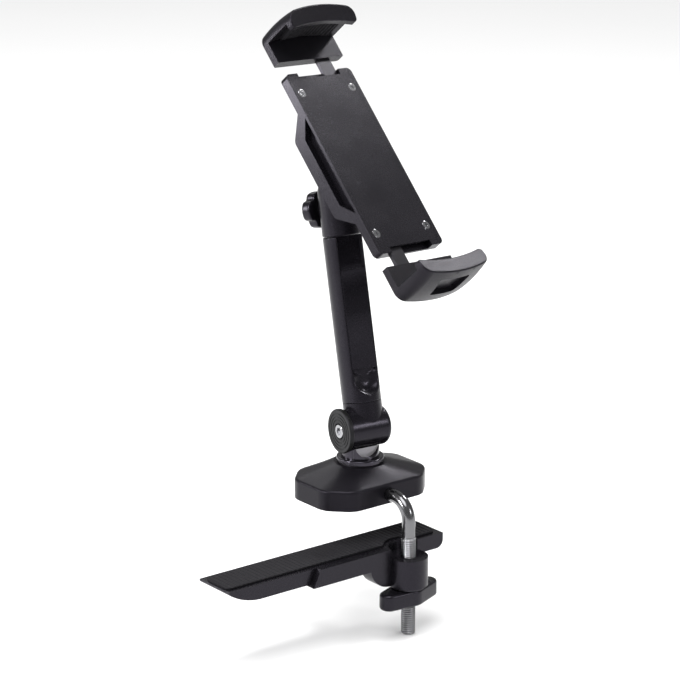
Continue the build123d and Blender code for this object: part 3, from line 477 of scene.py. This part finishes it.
# foot pad under the base
FOOT_LONG, FOOT_WIDE, FOOT_CORNER, FOOT_NORM = 33.8, 23.3, 46.1, 26
FOOT_TOP, FOOT_ROUND, FOOT_MIDDLE = 2.0, 0.5, 0.04
FOOT_RING, FOOT_GROOVE, GROOVE_STEEP, GROOVE_BACK, GROOVES_TO = 2.6, 0.35, 2, 0.9, 0.93


def foot_pad():
    """Rings of an octagon, drawn as one over the high-power norm of its sides, from the middle of
    the top out over the rim and back to the middle of the underside, which has ring grooves."""
    turn = full_turn(240)
    cosine, sine = np.cos(turn), np.sin(turn)
    sides = np.abs([
        cosine / FOOT_LONG, sine / FOOT_WIDE,
        (cosine + sine) / FOOT_CORNER, (cosine - sine) / FOOT_CORNER,
    ])
    outline = (sides**FOOT_NORM).sum(0) ** (-1 / FOOT_NORM)
    rim = np.linspace(0, np.pi / 2, 7)
    under = np.linspace(1, FOOT_MIDDLE, 90) * (1 - FOOT_ROUND / FOOT_WIDE)
    share = np.concatenate([
        [FOOT_MIDDLE, 0.5, 1.0], 1 - FOOT_ROUND / FOOT_WIDE * (1 - np.cos(rim)), under,
    ])
    wave = np.cos(2 * np.pi * under * FOOT_WIDE / FOOT_RING)
    groove = np.clip(wave * GROOVE_STEEP - GROOVE_BACK, 0, 1)
    sunk = FOOT_GROOVE * groove * (under < GROOVES_TO)
    z = np.concatenate([np.full(3, FOOT_TOP), FOOT_ROUND * (1 - np.sin(rim)), sunk])
    radius = share[:, None] * outline
    return np.stack([radius * cosine, radius * sine, z[:, None] + 0 * radius], -1)


skin("base_pad", foot_pad())

# arm tube and lock knob, laid out in the arm's and the head's own frames
arm_up = np.array(joint["head_swivel"]["axis"])
arm_back = np.cross(arm_up, arm_across)
ARM_OFFSET, TUBE_RADIUS, TUBE_LOW, TUBE_HIGH, TUBE_ROUND = 3.0, 10.65, 14.0, 104.0, 0.6
CHANNEL_HALF, CHANNEL_FLOOR, CHANNEL_LOW, CHANNEL_EDGE, RIM_ROUND = 7.7, 5.35, 18.6, 0.7, 0.4
COVER_LOW, BOWL_START, BOWL_BLEND, BOWL_SHARE, BOWL_ROUND = 32.0, 0.5, 3, 0.8, 1.0
FINE_ANGLE, FINE_END, FINE_PAST = 12, 1, 2
arm_foot = np.array(joint["arm_tilt"]["pos_m"]) / MM + ARM_OFFSET * arm_across


def channelled_tube():
    """A round tube whose front is pressed in where a point lies inside the channel's outline: by
    its depth inside along a quarter circle, short at the straight sides and a wide bowl at the
    round lower end, down to a flat floor; the mean over a small spread rounds the rim, more so
    at the bowl."""
    edge = np.degrees(np.arcsin(CHANNEL_HALF / TUBE_RADIUS))
    side = np.concatenate([
        np.linspace(0, edge - FINE_ANGLE, 34),
        np.linspace(edge - FINE_ANGLE, edge + FINE_ANGLE, 84)[1:],
        np.linspace(edge + FINE_ANGLE, 180, 34)[1:-1],
    ])
    turn = np.radians(np.concatenate([-side[:0:-1], side, [180]]))
    z = np.concatenate([
        np.linspace(TUBE_LOW, TUBE_LOW + FINE_END, 9),
        np.linspace(TUBE_LOW + FINE_END, COVER_LOW + FINE_PAST, 130)[1:],
        np.linspace(COVER_LOW + FINE_PAST, TUBE_HIGH - FINE_END, 40)[1:],
        np.linspace(TUBE_HIGH - FINE_END, TUBE_HIGH, 9)[1:],
    ])[:, None]
    radius = TUBE_RADIUS + rounded_end(np.minimum(z - TUBE_LOW, TUBE_HIGH - z), TUBE_ROUND)
    x, front = radius * np.sin(turn), radius * np.cos(turn)
    middle = CHANNEL_LOW + CHANNEL_HALF
    inside = CHANNEL_HALF - np.hypot(x, np.minimum(z - middle, 0))
    bowl = np.clip((COVER_LOW - BOWL_START - z) / BOWL_BLEND, 0, 1)
    reach = CHANNEL_EDGE + (BOWL_SHARE * CHANNEL_HALF - CHANNEL_EDGE) * bowl
    rim = RIM_ROUND + (BOWL_ROUND - RIM_ROUND) * bowl
    spread = np.linspace(-1, 1, 13)
    depth = [np.clip(1 - np.clip(inside + rim * shift, 0, None) / reach, 0, 1) for shift in spread]
    press = np.mean([np.sqrt(1 - d**2) for d in depth], axis=0)
    front = np.where(front > 0, front + (CHANNEL_FLOOR - front) * press, front)
    return (
        arm_foot + x[..., None] * arm_across - front[..., None] * arm_back
        + (z + 0 * x)[..., None] * arm_up
    )


skin("arm_tube", channelled_tube())

KNOB_NEAR, KNOB_THICK, KNOB_RADIUS, KNOB_COLLAR, COLLAR_FOOT = 12.55, 6.4, 10.0, 4.0, 11.15
KNOB_LOBES, KNOB_NOTCH, NOTCH_POWER, BELLY_SWELL, BELLY_POWER = 4, 1.8, 6, 3, 5
CROWN_RADII, CROWN_DROPS = (5.6, 4.4, 4.1, 0.6), (0.0, 0.0, 0.35, 0.35)


def scalloped_knob():
    """Rings up the screw's axis: a plain collar, then a rounded disc whose radius dips in a power
    of a cosine between its lobes, then a flat crown with a shallow dish."""
    outward = np.array(joint["lock_knob_turn"]["axis"])
    first = np.cross(outward, arm_across)
    first /= np.linalg.norm(first)
    second = np.cross(outward, first)
    turn = full_turn(240)
    dip = KNOB_NOTCH * (0.5 - 0.5 * np.cos(KNOB_LOBES * turn)) ** NOTCH_POWER
    swell = np.linspace(-1, 1, 41)
    belly = (1 - np.abs(swell) ** BELLY_POWER) ** (1 / BELLY_POWER)
    disc = KNOB_RADIUS - BELLY_SWELL + (BELLY_SWELL - dip) * belly[:, None]
    collar = np.full((2, turn.size), KNOB_COLLAR)
    crown = np.array(CROWN_RADII)[:, None] + np.zeros(turn.size)
    radius = np.vstack([collar, disc, crown])
    height = np.concatenate([
        [COLLAR_FOOT, KNOB_NEAR], KNOB_NEAR + KNOB_THICK * (swell + 1) / 2,
        KNOB_NEAR + KNOB_THICK - np.array(CROWN_DROPS),
    ])
    centre = np.array(joint["lock_knob_turn"]["pos_m"]) / MM
    return (
        centre + height[:, None, None] * outward
        + (radius * np.cos(turn))[..., None] * first + (radius * np.sin(turn))[..., None] * second
    )


skin("lock_knob", scalloped_knob())

# pieces laid out in the cradle's own frame
outward = np.array(joint["cradle_roll"]["axis"])
along = np.array(joint["top_jaw_slide"]["axis"])
across = np.cross(along, outward)
cradle_middle = np.array(joint["pinion_spin"]["pos_m"]) / MM


def in_cradle(x, y, z, side=1):
    """Points at x across the cradle, y toward the jaw on that side and z out of its face."""
    x, y, z = (np.asarray(c)[..., None] for c in np.broadcast_arrays(x, y, z))
    return cradle_middle + side * (x * across + y * along) + z * outward


# ribbed rubber strips inside the jaws
WALL_MIDDLE, WALL_BOW_RADIUS, STRIP_HALF, STRIP_THICK = 79.2, 111.3, 18.0, 2.6
STRIP_LOW, STRIP_HIGH, STRIP_ROUND, STRIP_EDGE_POWER = 31.4, 43.9, 1.0, 7
STRIP_RIB_PITCH, STRIP_RIB_DEPTH, STRIP_RIB_POWER = 2.4, 0.6, 2


def jaw_strip(side):
    """Rounded bars carried along the bowed wall, thinner in a cosine between the ribs."""
    x = np.linspace(-STRIP_HALF, STRIP_HALF, 300)[:, None]
    wall = WALL_MIDDLE - WALL_BOW_RADIUS + np.sqrt(WALL_BOW_RADIUS**2 - x**2)
    groove = (0.5 + 0.5 * np.cos(2 * np.pi * x / STRIP_RIB_PITCH)) ** STRIP_RIB_POWER
    ends = rounded_end(STRIP_HALF - np.abs(x), STRIP_ROUND)
    thick = STRIP_THICK - STRIP_RIB_DEPTH * groove + ends
    wide, tall = loop(36, STRIP_EDGE_POWER)
    y = wall - thick / 2 + thick / 2 * wide
    half = (STRIP_HIGH - STRIP_LOW) / 2 + ends
    z = (STRIP_LOW + STRIP_HIGH) / 2 + half * tall
    return in_cradle(x + 0 * y, y, z, side)


skin("top_grip", jaw_strip(1))
skin("bottom_grip", jaw_strip(-1))

# cross-recessed screws of the front plate
SCREW_ACROSS, SCREW_ALONG, SHANK_RADIUS, SHANK_END, SHANK_TIP = 19.0, 44.0, 1.5, 24.6, 0.3
HEAD_RADIUS, HEAD_SEAT, HEAD_TOP, HEAD_ROUND, HEAD_MIDDLE = 2.6, 28.0, 28.8, 0.35, 0.05
CROSS_HALF, CROSS_REACH, CROSS_DEPTH, CROSS_WALL, CROSS_TIP = 0.32, 1.35, 0.75, 0.10, 0.25


def plate_screw(x, y):
    """Circles from the middle of the head out over its rim and down the shank; on the head the
    height drops where the smaller of the distances from the cross's two arms is within its
    width."""
    turn = full_turn(96)
    face = np.linspace(HEAD_MIDDLE, HEAD_RADIUS - HEAD_ROUND, 36)
    rim = np.linspace(0, np.pi / 2, 8)
    radius = np.concatenate([
        face, HEAD_RADIUS - HEAD_ROUND + HEAD_ROUND * np.sin(rim),
        [HEAD_RADIUS, SHANK_RADIUS, SHANK_RADIUS, SHANK_TIP],
    ])[:, None]
    height = np.concatenate([
        HEAD_TOP + 0 * face, HEAD_TOP - HEAD_ROUND + HEAD_ROUND * np.cos(rim),
        [HEAD_SEAT, HEAD_SEAT, SHANK_END, SHANK_END],
    ])[:, None]
    px, py = radius * np.cos(turn), radius * np.sin(turn)
    near = np.minimum(np.abs(px), np.abs(py))
    in_arm = np.clip((CROSS_HALF - near) / CROSS_WALL + 0.5, 0, 1)
    in_reach = np.clip((CROSS_REACH - radius) / CROSS_TIP + 0.5, 0, 1)
    return in_cradle(x + px, y + py, height - CROSS_DEPTH * in_arm * in_reach)


skin("cradle_screws", *[
    plate_screw(i * SCREW_ACROSS, j * SCREW_ALONG) for i in (-1, 1) for j in (-1, 1)
])

# stage: floor, light and camera
FLOOR_REACH, FLOOR_CELLS, SKY_LEVEL = 8.0, 3, 0.33
floor_mesh = bpy.data.meshes.new("floor")
square = np.array([(-1, -1, 0), (1, -1, 0), (1, 1, 0), (-1, 1, 0)]) * FLOOR_REACH
floor_mesh.from_pydata(square + (0, 0, cad_box[0][2]), [], [(0, 1, 2, 3)])
floor = bpy.data.objects.new("floor", floor_mesh)
bpy.context.scene.collection.objects.link(floor)
pale = Finish("pale_floor")
cloud = pale.noise(pale.where(), FLOOR_CELLS, 2)
floor_mesh.materials.append(pale.set(
    Base_Color=pale.colour(cloud, grey(0.90), grey(0.93)), Roughness=0.85, Specular_IOR_Level=0.2
))

world = bpy.data.worlds.new("studio")
bpy.context.scene.world = world
world.use_nodes = True
sky = world.node_tree.nodes["Background"].inputs
sky["Color"].default_value = (1.0, 1.0, 1.0, 1.0)
sky["Strength"].default_value = SKY_LEVEL
bpy.context.scene.view_settings.view_transform = "Standard"


def softbox(name, place, aim, size, power):
    """A square area light at a place, turned to a point and not itself in the picture."""
    lamp = bpy.data.lights.new(name, "AREA")
    lamp.size = size
    lamp.energy = power
    holder = bpy.data.objects.new(name, lamp)
    holder.location = place
    holder.rotation_euler = (Vector(aim) - Vector(place)).to_track_quat("-Z", "Y").to_euler()
    holder.visible_camera = False
    bpy.context.scene.collection.objects.link(holder)


DAYLIGHT_POWER, DAYLIGHT_SPREAD, DAYLIGHT_WAY = 1.9, 40, (0.35, 0.25, -1.0)
ARM_MIDDLE = (0, 0, 0.1)
daylight = bpy.data.lights.new("daylight", "SUN")
daylight.energy = DAYLIGHT_POWER
daylight.angle = np.radians(DAYLIGHT_SPREAD)
high = bpy.data.objects.new("daylight", daylight)
high.rotation_euler = Vector(DAYLIGHT_WAY).to_track_quat("-Z", "Y").to_euler()
bpy.context.scene.collection.objects.link(high)
softbox("key", (-1.4, 0.2, 0.65), ARM_MIDDLE, 0.30, 18)
softbox("top", (0.0, -0.05, 1.4), ARM_MIDDLE, 0.25, 6)
softbox("front", (0.52, -1.29, 0.66), ARM_MIDDLE, 0.25, 5)
softbox("side", (0.95, 0.14, 1.00), (0.02, -0.06, 0.14), 0.20, 6.5)
softbox("back", (0.5, 1.3, 1.0), (0, 0, 0.15), 0.5, 2)
softbox("edge", (-0.41, 0.365, 0.192), (-0.019, 0.058, 0.243), 0.12, 0.9)

SENSOR, FOCAL_PIXELS, IMAGE_WIDTH = 36.0, 2808, 680
CAMERA_PLACE, CAMERA_WAY = (-0.8995, -1.1254, 0.5158), (0.5926, 0.7531, -0.2857)
camera_data = bpy.data.cameras.new("camera")
camera_data.sensor_width = SENSOR
camera_data.lens = SENSOR * FOCAL_PIXELS / IMAGE_WIDTH
camera_data.clip_start = 0.05
camera = bpy.data.objects.new("camera", camera_data)
forward = Vector(CAMERA_WAY).normalized()
right = forward.cross(Vector(UP)).normalized()
turn = Matrix((right, right.cross(forward), -forward)).transposed()
camera.matrix_world = Matrix.Translation(Vector(CAMERA_PLACE)) @ turn.to_4x4()
bpy.context.scene.collection.objects.link(camera)
bpy.context.scene.camera = camera
